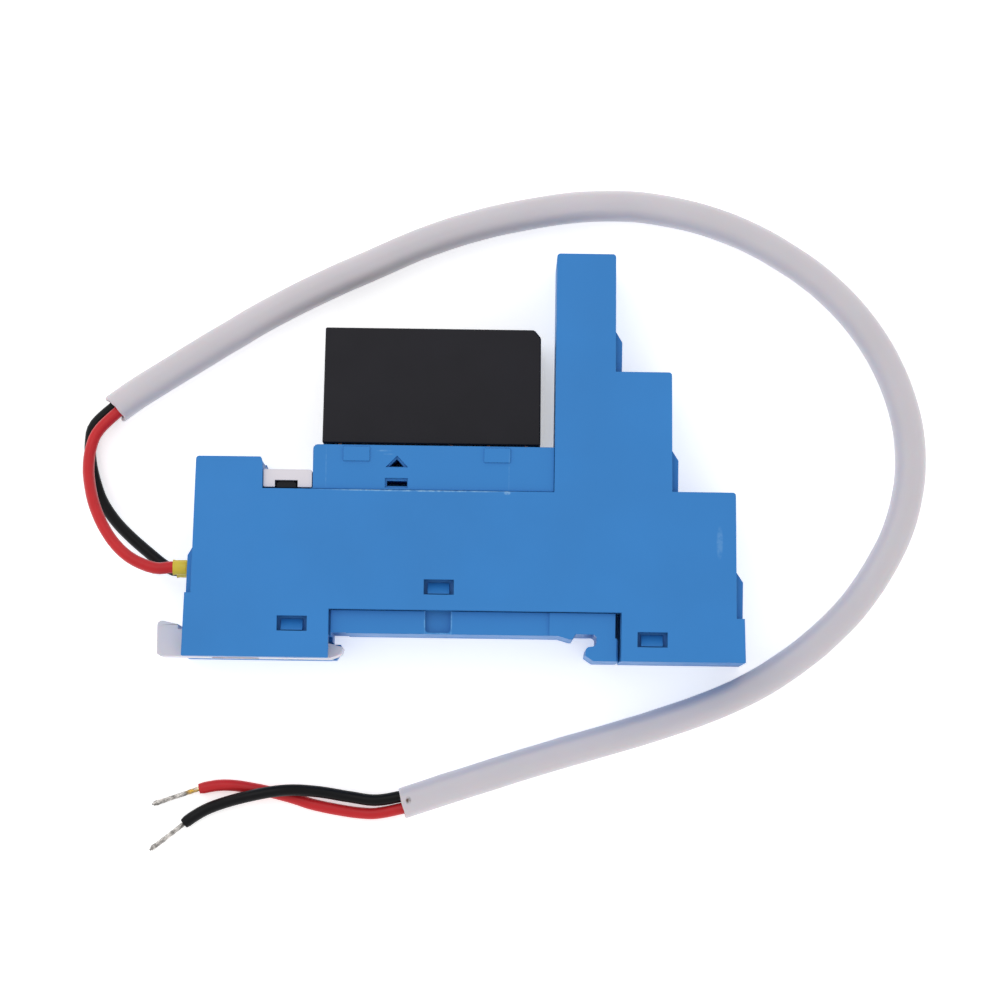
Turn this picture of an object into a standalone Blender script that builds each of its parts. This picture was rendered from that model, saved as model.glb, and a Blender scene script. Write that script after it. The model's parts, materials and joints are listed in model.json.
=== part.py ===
"""Slim relay socket for a 35 mm rail, with a plug-in power relay and a two-core coil lead.

The object lies on its side: +Z is its thickness, +X runs along the rail seat towards the
contact terminals, and +Y goes up from the rail to the screw heads.  Drawings are in
millimetres: u from the left end, v from the rail foot, z from the resting face.
"""
import math

import bmesh
import bpy
from mathutils import Matrix, Vector

MM = 0.001
OBJECT_NAME = "relay_socket"

# overall size, and the point of the drawing that is the origin of the resting face
LENGTH, HEIGHT, THICKNESS = 78.5, 54.5, 15.8
ORIGIN_U, ORIGIN_V = 39.25, 27.15
GAP = 0.3

# layers of the near half, mirrored for the far half
COVER_INSIDE = 14.4
RIM = 14.1
DECK_WALL = 15.4
DECK_PAD = 15.6
RAIL_WALL = 14.6
HOOK_WALL = 14.95
WEB_TOP = 8.4
BEYOND = 20.0

# the two rows of terminals and of relay pins, measured from the resting face
SCREW_ROW, PIN_ROW = 11.4, 11.65
EDGE_ROUND = 0.2

# outlines
COIL_TOP, DECK_TOP, RECESS_FLOOR, COVER_TOP = 26.67, 28.45, 22.6, 22.45
TIER_TOPS = {"a": COIL_TOP, "no": HEIGHT, "com": 38.7, "nc": 22.7}
RAIL_CEILING, CLIP_CEILING = 3.3, 3.4
RECESS_LEFT, DECK_LEFT = 13.77, 20.45
SEAM, RAIL_SEAM = 0.06, 0.1
HOUSING_OUTLINE = [
    (3.32, 0), (23.6, 0), (24.2, 0.9), (24.2, 2.1), (23.2, 2.1), (23.2, CLIP_CEILING),
    (25.2, CLIP_CEILING), (25.2, RAIL_CEILING), (53.5, RAIL_CEILING), (55.0, 2.85), (55.4, 2.85),
    (55.8, 3.55), (58.6, 3.55, 0.5), (58.6, 2.0, 0.6), (57.25, 1.85, 0.5), (57.1, 0.75), (58.2, 0), (78.5, 0), (78.3, 5.88),
    (78.1, 5.88), (78.1, 10.8), (77.2, 12.15), (76.95, 22.7, 0.4), (69.3, 22.7), (69.3, 27.0),
    (68.4, 28.4), (68.25, 38.7, 0.4), (61.6, 38.7), (61.6, 42.8), (60.7, 44.3),
    (60.6, HEIGHT, 0.4), (52.71, HEIGHT, 0.4), (52.71, DECK_TOP), (DECK_LEFT, DECK_TOP, 0.6),
    (DECK_LEFT, RECESS_FLOOR), (RECESS_LEFT, RECESS_FLOOR), (RECESS_LEFT, 25.9),
    (13.3, COIL_TOP), (4.87, COIL_TOP, 0.4), (4.5, 14.56), (3.85, 13.45), (3.7, 8.41),
    (3.61, 8.41),
]
COVER_OUTLINE = [
    (3.32, 0), (22.87, 0), (22.87, 6.47), (61.89, 6.47), (61.89, 0), (78.5, 0), (78.3, 5.88),
    (77.23, 5.88), (76.95, 22.7, 0.4), (68.47, 22.7), (68.25, 38.7, 0.4), (60.75, 38.7),
    (60.6, HEIGHT, 0.4), (52.71, HEIGHT, 0.4), (52.71, COVER_TOP), (RECESS_LEFT, COVER_TOP),
    (RECESS_LEFT, 25.9), (13.5, COIL_TOP), (4.87, COIL_TOP, 0.4), (4.43, 8.41), (3.61, 8.41),
]
# latch windows in each cover: left, right, bottom, top
WINDOWS = [(16.0, 20.0, 3.48, 5.48), (35.5, 39.5, 8.55, 10.55), (64.05, 68.05, 1.92, 3.92)]

# terminals: screw axis, wire entry height, and the side that the wire comes from
TERMINALS = {"a": (9.4, 11.93, -1), "no": (56.7, 41.4, 1), "com": (64.5, 25.5, 1),
             "nc": (72.8, 9.0, 1)}
NUMBERS = {"a": ("a1", "a2"), "nc": ("12", "22"), "com": ("11", "21"), "no": ("14", "24")}
SCREW_HEAD, SCREW_SHANK, HEAD_HEIGHT, HEAD_SUNK = 2.0, 1.45, 1.9, 1.5
SCREW_TIP = 2.5
CAGE_HALF, CAGE_DEPTH, CAGE_FLOOR, CAGE_WINDOW, CAGE_TOP = 2.2, 2.4, 1.0, 4.4, 2.0
CAGE_OPEN = -2.2
COIL_CAGE_CLOSED = 1.2
STRIP, STRIP_HALF = 0.5, 1.0

# relay: left end, underside, and the places of its pins along it
RELAY_LEFT, RELAY_FOOT = 21.9, 28.75
PIN_AT = {"a": 2.0, "nc": 17.0, "com": 22.0, "no": 27.0}
PIN_TIP = -3.65
COIL_AXIS = 7.0
HINGE_A, HINGE_B = 3.0, 1.8

# pull clip for the rail
CLIP_LOW, CLIP_HIGH = 4.9, 11.9
SPRING_TURNS, SPRING_FROM, SPRING_TO = 5, 8.4, 13.0

# the lead
SHEATH_R, WIRE_R, STRAND_R = 2.15, 0.8, 0.3
FERRULE_AT = 11.93
SHEATH_ROUTE = [
    (-46.6, 6.8, 2.2), (-43.6, 9.0, 2.2), (-38.2, 12.5, 2.2), (-32.2, 16.3, 2.2),
    (-25.6, 20.3, 2.2), (-18.6, 24.0, 2.2), (-11.7, 27.2, 2.2), (-4.8, 30.3, 2.2),
    (2.1, 32.7, 2.2), (9.1, 34.4, 2.2), (15.9, 35.5, 2.2), (21.5, 35.8, 2.2),
    (26.5, 35.5, 2.2), (33.1, 34.2, 2.2), (39.1, 32.1, 2.2), (44.8, 29.1, 2.2),
    (50.4, 25.1, 2.2), (55.3, 20.0, 2.2), (59.1, 14.0, 2.2), (61.5, 7.5, 2.2),
    (62.3, 1.6, 2.2), (61.8, -4.0, 2.2), (60.2, -9.4, 2.2), (57.6, -14.4, 2.2),
    (54.3, -19.1, 2.2), (50.2, -23.3, 2.2), (45.3, -27.2, 2.2), (39.9, -30.5, 2.2),
    (33.8, -33.2, 2.2), (27.6, -35.4, 2.2), (21.3, -37.4, 2.2), (15.0, -39.3, 2.2),
    (9.6, -41.0, 2.2), (4.2, -42.8, 2.2), (-0.7, -44.4, 2.2), (-6.5, -46.4, 2.2),
]
RED_LEAD_ROUTE = [
    (-38.0, -15.22, 11.4), (-39.3, -15.4, 11.4), (-40.9, -15.1, 11.3), (-43.3, -14.0, 10.9),
    (-45.4, -12.2, 10.1), (-47.2, -9.7, 9.0), (-48.6, -6.8, 7.6), (-49.4, -4.1, 6.1),
    (-49.8, -1.5, 4.8), (-49.6, 1.4, 3.8), (-48.5, 4.0, 3.2), (-46.6, 5.9, 2.95),
]
BLACK_LEAD_ROUTE = [
    (-38.0, -15.22, 4.4), (-39.5, -14.4, 4.3), (-41.4, -12.9, 3.8), (-43.9, -10.8, 3.0),
    (-46.2, -8.5, 2.0), (-48.1, -5.8, 1.3), (-49.2, -3.0, 0.9), (-49.85, -0.3, 0.85),
    (-50.0, 2.3, 0.9), (-49.3, 4.9, 1.15), (-47.6, 6.9, 1.5),
]
BLACK_TAIL_ROUTE = [
    (-7.2, -45.75, 2.2), (-9.7, -46.0, 1.9), (-13.7, -45.6, 1.5), (-17.7, -45.0, 1.7),
    (-21.3, -44.8, 2.4), (-24.4, -45.1, 2.65), (-28.1, -45.9, 2.1), (-31.2, -46.8, 1.3),
    (-33.4, -47.7, 0.9), (-35.2, -48.8, 0.85), (-36.2, -49.6, 0.85),
]
RED_TAIL_ROUTE = [
    (-6.9, -47.35, 2.0), (-9.3, -47.7, 1.4), (-11.9, -47.8, 0.9), (-15.1, -47.4, 0.85),
    (-18.7, -46.7, 0.85), (-21.3, -45.9, 0.85), (-24.5, -45.1, 0.85), (-27.2, -44.6, 0.85),
    (-29.3, -44.3, 0.85), (-31.6, -44.3, 0.85), (-34.2, -44.8, 0.85),
]
RED_TIP_ROUTE = [(-34.5, -44.9, 0.85), (-37.5, -45.95, 0.55), (-40.6, -47.0, 0.4)]
BLACK_TIP_ROUTE = [(-36.45, -49.8, 0.85), (-38.6, -51.5, 0.55), (-40.8, -53.2, 0.4)]


# ---------------------------------------------------------------- scene and materials

def empty_scene():
    for old in list(bpy.data.objects):
        bpy.data.objects.remove(old, do_unlink=True)


def collection(name):
    made = bpy.data.collections.new(name)
    bpy.context.scene.collection.children.link(made)
    return made


def material(name, colour, roughness, metallic=0.0):
    made = bpy.data.materials.new(name)
    made.use_nodes = True
    shader = made.node_tree.nodes["Principled BSDF"]
    shader.inputs["Base Color"].default_value = (*colour, 1)
    shader.inputs["Roughness"].default_value = roughness
    shader.inputs["Metallic"].default_value = metallic
    return made


# ---------------------------------------------------------------- shapes

def world(u, v, z):
    """A point of the drawing, in metres in the object's frame."""
    return Vector((u - ORIGIN_U, v - ORIGIN_V, z)) * MM


def new_object(name, mesh):
    made = bpy.data.objects.new(name, mesh)
    PARTS.objects.link(made)
    return made


def solid_of(source, keep_name=None):
    """The object with its modifiers, or the curve, as a plain closed mesh object."""
    bpy.context.view_layer.update()
    graph = bpy.context.evaluated_depsgraph_get()
    mesh = bpy.data.meshes.new_from_object(source.evaluated_get(graph), depsgraph=graph)
    shape = bmesh.new()
    shape.from_mesh(mesh)
    bmesh.ops.remove_doubles(shape, verts=shape.verts, dist=0.002 * MM)
    shape.to_mesh(mesh)
    shape.free()
    name = keep_name or source.name
    matrix = source.matrix_basis.copy()
    bpy.data.objects.remove(source, do_unlink=True)
    made = new_object(name, mesh)
    made.matrix_basis = matrix
    return made


def arc_corner(before, corner, after, radius, steps=3):
    """Points that round a corner of an outline."""
    a, b, c = (Vector(p[:2]) for p in (before, corner, after))
    to_a, to_c = (a - b).normalized(), (c - b).normalized()
    half = to_a.angle(to_c) / 2
    start, end = b + to_a * radius / math.tan(half), b + to_c * radius / math.tan(half)
    centre = b + (to_a + to_c).normalized() * radius / math.sin(half)
    points = []
    for i in range(steps + 1):
        mixed = start.lerp(end, i / steps) - centre
        points.append(tuple(centre + mixed.normalized() * radius))
    return points


def rounded(outline):
    points = []
    for i, corner in enumerate(outline):
        if len(corner) == 3:
            after = outline[(i + 1) % len(outline)]
            points += arc_corner(outline[i - 1], corner, after, corner[2])
        else:
            points.append(corner)
    return points


def prism(name, outline, low, high, edge=0.0):
    """A flat outline in u and v, from z = low to z = high, with its edges broken by edge."""
    curve = bpy.data.curves.new(name, "CURVE")
    curve.dimensions = "2D"
    curve.fill_mode = "BOTH"
    curve.extrude = (high - low) / 2 * MM
    points = [world(u, v, 0) for u, v in rounded(outline)]
    spline = curve.splines.new("POLY")
    spline.points.add(len(points) - 1)
    for slot, point in zip(spline.points, points):
        slot.co = (point.x, point.y, 0, 1)
    spline.use_cyclic_u = True
    drawn = new_object(name + "_outline", curve)
    drawn.location.z = (low + high) / 2 * MM
    made = solid_of(drawn, name)
    if edge:
        bevel = made.modifiers.new("edges", "BEVEL")
        bevel.width = edge * MM
        bevel.segments = 1
        bevel.angle_limit = math.radians(40)
        made = solid_of(made)
    return made


def box(name, low, high):
    """A box between two corners of the drawing."""
    low, high = world(*low), world(*high)
    mesh = bpy.data.meshes.new(name)
    shape = bmesh.new()
    bmesh.ops.create_cube(shape, size=1)
    bmesh.ops.scale(shape, vec=high - low, verts=shape.verts)
    bmesh.ops.translate(shape, vec=(low + high) / 2, verts=shape.verts)
    shape.to_mesh(mesh)
    shape.free()
    return new_object(name, mesh)


AXIS_TURN = {
    "x": Matrix.Rotation(math.pi / 2, 4, "Y"),
    "y": Matrix.Rotation(-math.pi / 2, 4, "X"),
    "z": Matrix.Identity(4),
}


def cone(name, start, axis, length, radius, end_radius=None, sides=20):
    """A round bar or a taper, from start for length millimetres along +axis."""
    mesh = bpy.data.meshes.new(name)
    shape = bmesh.new()
    bmesh.ops.create_cone(
        shape, cap_ends=True, segments=sides, depth=length * MM,
        radius1=radius * MM, radius2=(end_radius or radius) * MM)
    bmesh.ops.translate(shape, vec=(0, 0, length / 2 * MM), verts=shape.verts)
    bmesh.ops.transform(shape, matrix=AXIS_TURN[axis], verts=shape.verts)
    bmesh.ops.translate(shape, vec=world(*start), verts=shape.verts)
    shape.to_mesh(mesh)
    shape.free()
    return new_object(name, mesh)


def turned(name, profile, start, axis, steps=16):
    """A turned piece: (radius, distance along the axis) from its far end back to its start."""
    mesh = bpy.data.meshes.new(name)
    shape = bmesh.new()
    points = [shape.verts.new((r * MM, 0, h * MM)) for r, h in profile]
    for one, other in zip(points, points[1:]):
        shape.edges.new((one, other))
    shape.to_mesh(mesh)
    shape.free()
    made = new_object(name, mesh)
    screw = made.modifiers.new("turn", "SCREW")
    screw.steps = screw.render_steps = steps
    screw.use_merge_vertices = True
    screw.merge_threshold = 0.00001
    made = solid_of(made)
    made.data.transform(Matrix.Translation(world(*start)) @ AXIS_TURN[axis])
    return made


def strip(name, path, thickness, z_low, z_high):
    """Sheet metal bent along a path in u and v."""
    mesh = bpy.data.meshes.new(name)
    shape = bmesh.new()
    low = [shape.verts.new(world(u, v, z_low)) for u, v in path]
    high = [shape.verts.new(world(u, v, z_high)) for u, v in path]
    for i in range(len(path) - 1):
        shape.faces.new((low[i], low[i + 1], high[i + 1], high[i]))
    shape.to_mesh(mesh)
    shape.free()
    made = new_object(name, mesh)
    thick = made.modifiers.new("sheet", "SOLIDIFY")
    thick.thickness = thickness * MM
    thick.offset = 0
    thick.use_even_offset = True
    return solid_of(made)


def row_strip(name, path, thickness, half_width):
    """Sheet metal bent along a path, centred on the near row of pins."""
    return strip(name, path, thickness, PIN_ROW - half_width, PIN_ROW + half_width)


def smooth_points(route, spacing):
    """Points every spacing millimetres or so on a smooth curve through the route."""
    knots = [Vector(p) for p in route]
    knots = [knots[0] * 2 - knots[1]] + knots + [knots[-1] * 2 - knots[-2]]
    points = [knots[1]]
    for a, b, c, d in zip(knots, knots[1:], knots[2:], knots[3:]):
        count = max(1, round((c - b).length / spacing))
        for i in range(1, count + 1):
            t = i / count
            points.append(0.5 * (
                2 * b + (c - a) * t + (2 * a - 5 * b + 4 * c - d) * t ** 2
                + (3 * b - a - 3 * c + d) * t ** 3))
    return points


def tube(name, route, radius, spacing, bevel_resolution=2):
    """A round cord along a smooth curve through the route's points, with flat ends."""
    curve = bpy.data.curves.new(name, "CURVE")
    curve.dimensions = "3D"
    curve.bevel_depth = radius * MM
    curve.bevel_resolution = bevel_resolution
    curve.use_fill_caps = True
    curve.resolution_u = 1
    curve.render_resolution_u = 0
    points = smooth_points(route, spacing)
    spline = curve.splines.new("POLY")
    spline.points.add(len(points) - 1)
    for slot, point in zip(spline.points, points):
        slot.co = (*(point * MM), 1)
    return new_object(name, curve)


# ---------------------------------------------------------------- combining shapes

def merged(name, pieces):
    """Several separate solids as one mesh object."""
    shape = bmesh.new()
    for piece in pieces:
        mesh = piece.data.copy()
        mesh.transform(piece.matrix_basis)
        shape.from_mesh(mesh)
        bpy.data.meshes.remove(mesh)
        bpy.data.objects.remove(piece, do_unlink=True)
    mesh = bpy.data.meshes.new(name)
    shape.to_mesh(mesh)
    shape.free()
    return new_object(name, mesh)


def other_row(piece):
    """A copy of a near-row shape, mirrored into the far row."""
    mesh = piece.data.copy()
    mesh.transform(piece.matrix_basis)
    mirror = Matrix.Translation((0, 0, THICKNESS * MM)) @ Matrix.Scale(-1, 4, (0, 0, 1))
    mesh.transform(mirror)
    mesh.flip_normals()
    return new_object(piece.name + "_far", mesh)


def both_rows(name, pieces):
    return merged(name, [row for piece in pieces for row in (other_row(piece), piece)])


def combine(body, tool, operation):
    """Cut the tool out of the body, or join it on; the tool is kept as a cutter."""
    modifier = body.modifiers.new(tool.name, "BOOLEAN")
    modifier.operation = operation
    modifier.object = tool
    for home in list(tool.users_collection):
        home.objects.unlink(tool)
    CUTTERS.objects.link(tool)
    tool.hide_render = True
    tool.display_type = "WIRE"


def cut(body, tool):
    combine(body, tool, "DIFFERENCE")


def join(body, tool):
    combine(body, tool, "UNION")


def baked(body):
    """The body with its cuts applied and their cutters gone, ready to be copied."""
    tools = [m.object for m in body.modifiers if m.type == "BOOLEAN"]
    made = solid_of(body)
    for tool in tools:
        bpy.data.objects.remove(tool, do_unlink=True)
    return made


def finish(piece, look, origin=None, smooth=False):
    """Give a piece its material, and its origin at a point of the drawing."""
    if origin is not None:
        point = world(*origin)
        piece.data.transform(Matrix.Translation(-point) @ piece.matrix_basis)
        piece.matrix_basis = Matrix.Translation(point)
    piece.data.materials.clear()
    piece.data.materials.append(look)
    if smooth:
        piece.data.shade_smooth()
        piece.data.set_sharp_from_angle(angle=math.radians(35))
    return piece


# ---------------------------------------------------------------- socket housing

def strip_path(kind):
    """The route of a terminal's conductor, from inside its clamp to its relay pin."""
    axis, entry, side = TERMINALS[kind]
    bar = entry + 1.4
    pin = RELAY_LEFT + PIN_AT[kind]
    bend = axis - side * 2.75
    start = [(axis + side * 1.9, bar), (bend, bar)]
    level = {"a": 20.5, "no": 21.0, "com": 18.5, "nc": 15.5}[kind]
    return start + [(bend, level), (pin, level), (pin, 21.9)]


def terminal_cutters():
    """Clamp chambers, screw bores, screw shank holes and wire entries of the near row."""
    chambers, bores, shanks, entries = [], [], [], []
    for kind, (axis, entry, side) in TERMINALS.items():
        top = TIER_TOPS[kind]
        ends = sorted((axis - side * 3.3, axis + side * 2.6))
        chambers.append(box("chamber_" + kind, (ends[0], entry - 3.6, WEB_TOP),
                            (ends[1], entry + 7.1, BEYOND)))
        seat = top - HEAD_SUNK - HEAD_HEIGHT - GAP
        bores.append(cone("bore_" + kind, (axis, seat, SCREW_ROW), "y", 6, 2.4, sides=24))
        shanks.append(cone("shank_" + kind, (axis, entry + 6, SCREW_ROW), "y",
                           seat - entry - 5.5, 1.75))
        reach = 6.6
        start = axis + 1.9 if side > 0 else axis - 1.9 - reach
        radii = (1.5, 2.1) if side > 0 else (2.1, 1.5)
        entries.append(cone("entry_" + kind, (start, entry, SCREW_ROW), "x", reach, *radii))
    return [both_rows("clamp_chambers", chambers), both_rows("screw_bores", bores),
            both_rows("shank_holes", shanks), both_rows("wire_entries", entries)]


def contact_cutters():
    """Channels for the conductors, and the relay pins' pockets and slots under the deck."""
    channels, pockets, slots = [], [], []
    for kind, at in PIN_AT.items():
        pin = RELAY_LEFT + at
        path = strip_path(kind)[1:]
        path[-1] = (pin, 22.2)
        channels.append(strip("channel_" + kind, path, 1.2, 10.3, BEYOND))
        pockets.append(box("pocket_" + kind, (pin - 1.6, 21.6, 10.3), (pin + 1.6, 27.2, 13.1)))
        slots.append(box("slot_" + kind, (pin - 0.6, 26.5, PIN_ROW - 0.9),
                         (pin + 0.6, 30, PIN_ROW + 0.9)))
    return [both_rows("strip_channels", channels), both_rows("pin_pockets", pockets),
            both_rows("pin_slots", slots)]


def clip_cutters():
    """The pull clip's channel and grooves, and the relief in front of the clip's nose."""
    return [
        box("clip_channel", (-2, -1, CLIP_LOW - GAP), (26, 2.3, CLIP_HIGH + GAP)),
        box("clip_grooves", (-2.5, 0.6, CLIP_LOW - 1.1), (26.5, 1.8, CLIP_HIGH + 1.1)),
        box("nose_relief", (22.6, -1.5, 8), (27, 2.9, BEYOND)),
    ]


def latch_barbs():
    """Sloped barbs that stand in the covers' windows and hold them on."""
    barbs = []
    for left, right, low, high in WINDOWS:
        low, high = low + 0.12, high - 0.35
        barb = box("barb", (left + 0.5, low, RIM - 1.5), (right - 0.6, high, 15.2))
        middle = world(0, (low + high) / 2, 0).y
        for vert in barb.data.vertices:
            if vert.co.z > RIM * MM and vert.co.y > middle:
                vert.co.z -= 0.95 * MM
        barbs.append(barb)
    return both_rows("latch_barbs", barbs)


def deck_details():
    """Raised pads, an arrow hole and a slot on the wall under the relay."""
    pads = [box("pad", (left, 26.3, 14.8), (left + 3.5, 28.2, DECK_PAD)) for left in (24.5, 43.3)]
    rims = [prism("arrow", [(30.15, 25.5), (33.15, 25.5), (31.68, 27.05)], 14.9, BEYOND),
            box("latch", (30.1, 22.75, 14.9), (33.15, 24.05, BEYOND))]
    holes = [prism("arrow_hole", [(30.6, 25.6), (32.6, 25.6), (31.65, 26.65)], 9.0, BEYOND),
             box("latch_hole", (30.35, 23.0, 9.0), (33.05, 23.7, BEYOND))]
    return both_rows("deck_pads", pads), [both_rows("rims", rims), both_rows("holes", holes)]


def main_housing(look):
    """The middle of the socket, stepped back under the covers, at the rail and at the hook."""
    body = prism("main_housing", HOUSING_OUTLINE, THICKNESS - DECK_WALL, DECK_WALL, EDGE_ROUND)
    steps = {
        "cover_layer": (RIM, [
            (-5, -5), (23.12, -5), (23.12, 6.47 - RAIL_SEAM), (61.3, 6.47 - RAIL_SEAM),
            (61.3, -5), (85, -5), (85, 60), (52.71 - SEAM, 60),
            (52.71 - SEAM, COVER_TOP + SEAM), (20.2, COVER_TOP + SEAM), (20.2, 60), (-5, 60)]),
        "rail_layer": (RAIL_WALL, [(20.4, -5), (52.3, -5), (52.3, 6.8), (20.4, 6.8)]),
        "hook_layer": (HOOK_WALL, [(52.2, -5), (62.5, -5), (62.5, 6.8), (52.2, 6.8)]),
    }
    for name, (level, outline) in steps.items():
        cut(body, both_rows(name, [prism(name, outline, level, BEYOND)]))
    groove = [(35.75, 3.5, 0.5), (39.15, 3.5, 0.5), (39.15, 7), (35.75, 7)]
    slit = [(61.1, 3.1), (61.5, 2.9), (61.5, -1), (61.75, -1), (61.75, 6.4), (61.1, 6.4)]
    cut(body, both_rows("rail_groove", [prism("groove", groove, 13.8, BEYOND)]))
    cut(body, both_rows("hook_slit", [prism("slit", slit, 9.5, BEYOND)]))
    for tool in terminal_cutters() + contact_cutters() + clip_cutters():
        cut(body, tool)
    pads, holes = deck_details()
    join(body, pads)
    for tool in holes:
        cut(body, tool)
    join(body, latch_barbs())
    join(body, box("spring_post", (7.3, 0.4, 6.9), (8.1, 3.0, 9.9)))
    return finish(body, look)


def cover(name, look, low, high):
    body = prism(name, COVER_OUTLINE, low, high, EDGE_ROUND)
    windows = [box("window", (left, bottom, low - 1), (right, top, high + 1))
               for left, right, bottom, top in WINDOWS]
    cut(body, merged(name + "_windows", windows))
    return finish(body, look)


# ---------------------------------------------------------------- terminals

def screw_piece(name, kind, row, look):
    """A clamp screw with a cross slot, its origin on its own axis under the head."""
    axis, entry, _ = TERMINALS[kind]
    top = TIER_TOPS[kind] - HEAD_SUNK
    tip = entry + SCREW_TIP
    head = top - tip
    profile = [(0, head), (SCREW_HEAD - 0.2, head), (SCREW_HEAD, head - 0.2),
               (SCREW_HEAD, head - HEAD_HEIGHT), (SCREW_SHANK, head - HEAD_HEIGHT),
               (SCREW_SHANK, 0.4), (1.0, 0), (0, 0)]
    body = turned(name, profile, (axis, tip, row), "y")
    for along, across in ((1.6, 0.35), (0.35, 1.6)):
        slot = box(name + "_slot", (axis - along, top - 1.0, row - across),
                   (axis + along, top + 1, row + across))
        cut(body, slot)
    return finish(baked(body), look, (axis, top - HEAD_HEIGHT, row), smooth=True)


def cage_piece(name, kind, row, look):
    """A rising clamp cage, its origin on the screw's axis."""
    axis, entry, _ = TERMINALS[kind]
    sill = entry + CAGE_OPEN + (COIL_CAGE_CLOSED if kind == "a" else 0)
    lintel = sill + CAGE_WINDOW
    body = box(name, (axis - CAGE_HALF, sill - CAGE_FLOOR, row - CAGE_DEPTH),
               (axis + CAGE_HALF, lintel + CAGE_TOP, row + CAGE_DEPTH))
    cut(body, box(name + "_window", (axis - 5, sill, row - 1.7), (axis + 5, lintel, row + 1.7)))
    cut(body, cone(name + "_thread", (axis, lintel - 1, row), "y", CAGE_TOP + 3, 1.6, sides=16))
    return finish(baked(body), look, (axis, sill, row))


def strip_piece(name, kind, look):
    """A conductor with a two-leaf spring contact for the relay's pin."""
    pin = RELAY_LEFT + PIN_AT[kind]
    body = row_strip(name, strip_path(kind)[:-1] + [(pin, 22.3)], STRIP, STRIP_HALF)
    leaf = [(0.95, 26.7), (0.8, 25.2), (0.95, 23.6), (0.95, 22.2)]
    fork = [(pin + off, v) for off, v in leaf] + [(pin - off, v) for off, v in reversed(leaf)]
    join(body, row_strip(name + "_fork", fork, 0.4, STRIP_HALF - 0.1))
    return finish(baked(body), look)


def to_far_row(piece, look, origin=None):
    """The far row's twin of a near-row piece."""
    made = other_row(piece)
    bpy.data.objects.remove(piece, do_unlink=True)
    return finish(made, look, origin)


def terminals(steel, brass):
    for kind, numbers in NUMBERS.items():
        for number, row in zip(numbers, (SCREW_ROW, THICKNESS - SCREW_ROW)):
            screw_piece("screw_" + number, kind, row, steel)
            cage_piece("clamp_" + number, kind, row, steel)
        strip_piece("contact_" + numbers[0], kind, brass)
        far = to_far_row(strip_piece("twin", kind, brass), brass)
        far.name = "contact_" + numbers[1]


# ---------------------------------------------------------------- marker tag and pull clip

def marker_tag(look):
    outline = [(13.85, 22.68, 0.15), (15.4, 22.68), (15.4, 23.6), (18.45, 23.6), (18.45, 22.68),
               (20.35, 22.68, 0.15), (20.35, 25.05, 0.3), (13.85, 25.05, 0.15)]
    return finish(prism("marker_tag", outline, 0.6, THICKNESS - 0.6, 0.12), look)


def recess_rib(look):
    """A dark bar on the recess floor, which the tag's notch straddles."""
    outline = [(15.6, 22.65), (18.25, 22.65), (18.25, 23.25), (17.7, 23.52), (16.15, 23.52),
               (15.6, 23.25)]
    return finish(prism("recess_rib", outline, 1.2, THICKNESS - 1.2), look)


def din_clip(look):
    """A flat slide with a pull tab, side flanges, a wedge nose and a window for its spring."""
    outline = [(-0.2, 0.3, 0.3), (0.3, 0), (23.0, 0), (24.5, 0.6), (24.8, 1.5, 0.2),
               (23.0, 2.0), (3.28, 2.0), (3.28, 3.65), (2.65, 3.65), (2.65, 4.3, 0.2),
               (-0.2, 4.9, 0.6)]
    body = prism("din_clip", outline, CLIP_LOW, CLIP_HIGH, 0.12)
    join(body, box("clip_flanges", (4.0, 0.9, CLIP_LOW - 0.8), (21.0, 1.5, CLIP_HIGH + 0.8)))
    cut(body, box("clip_window", (7.0, -1, 6.2), (13.3, 3, 10.6)))
    return finish(body, look, (0, 0, (CLIP_LOW + CLIP_HIGH) / 2))


def clip_spring(look):
    """A compression coil between the housing's post and the end of the clip's window."""
    points_per_turn = 9
    count = SPRING_TURNS * points_per_turn
    radius, wire = 0.75, 0.16
    route = []
    for i in range(count + 1):
        turn = 2 * math.pi * i / points_per_turn
        along = SPRING_FROM + wire + (SPRING_TO - SPRING_FROM - 2 * wire) * i / count
        route.append((along, 1.15 + radius * math.sin(turn), 8.4 + radius * math.cos(turn)))
    curve = bpy.data.curves.new("clip_spring", "CURVE")
    curve.dimensions = "3D"
    curve.bevel_depth = wire * MM
    curve.bevel_resolution = 1
    curve.use_fill_caps = True
    spline = curve.splines.new("POLY")
    spline.points.add(len(route) - 1)
    for slot, point in zip(spline.points, route):
        slot.co = (*world(*point), 1)
    made = new_object("clip_spring", curve)
    made.data.materials.append(look)
    return made


# ---------------------------------------------------------------- relay

def in_relay(a, b, z):
    """A point measured from the relay's lower left corner, as a point of the drawing."""
    return (RELAY_LEFT + a, RELAY_FOOT + b, z)


def relay_box(name, low, high):
    return box(name, in_relay(*low), in_relay(*high))


def relay_case(look):
    """A deep cap, open underneath, with a little draft and one bevelled top corner."""
    outer = [(-0.3, 0), (28.9, 0), (28.8, 14.5), (27.9, 15.55), (-0.1, 15.55)]
    inner = [(0.6, -1), (28.0, -1), (27.9, 14.0), (27.4, 14.6), (0.8, 14.6)]
    place = [[in_relay(a, b, 0)[:2] for a, b in ring] for ring in (outer, inner)]
    body = prism("relay_case", place[0], 1.55, 14.25, 0.15)
    cut(body, prism("case_hollow", place[1], 2.45, 13.35))
    return finish(body, look)


def relay_base(look):
    body = relay_box("relay_base", (1.15, 0.3, 2.8), (27.65, 2.0, 13.0))
    holes = [relay_box("hole", (at - 0.6, -1, PIN_ROW - 0.9), (at + 0.55, 3, PIN_ROW + 0.9))
             for at in PIN_AT.values()]
    cut(body, both_rows("base_pin_holes", holes))
    return finish(body, look)


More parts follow.
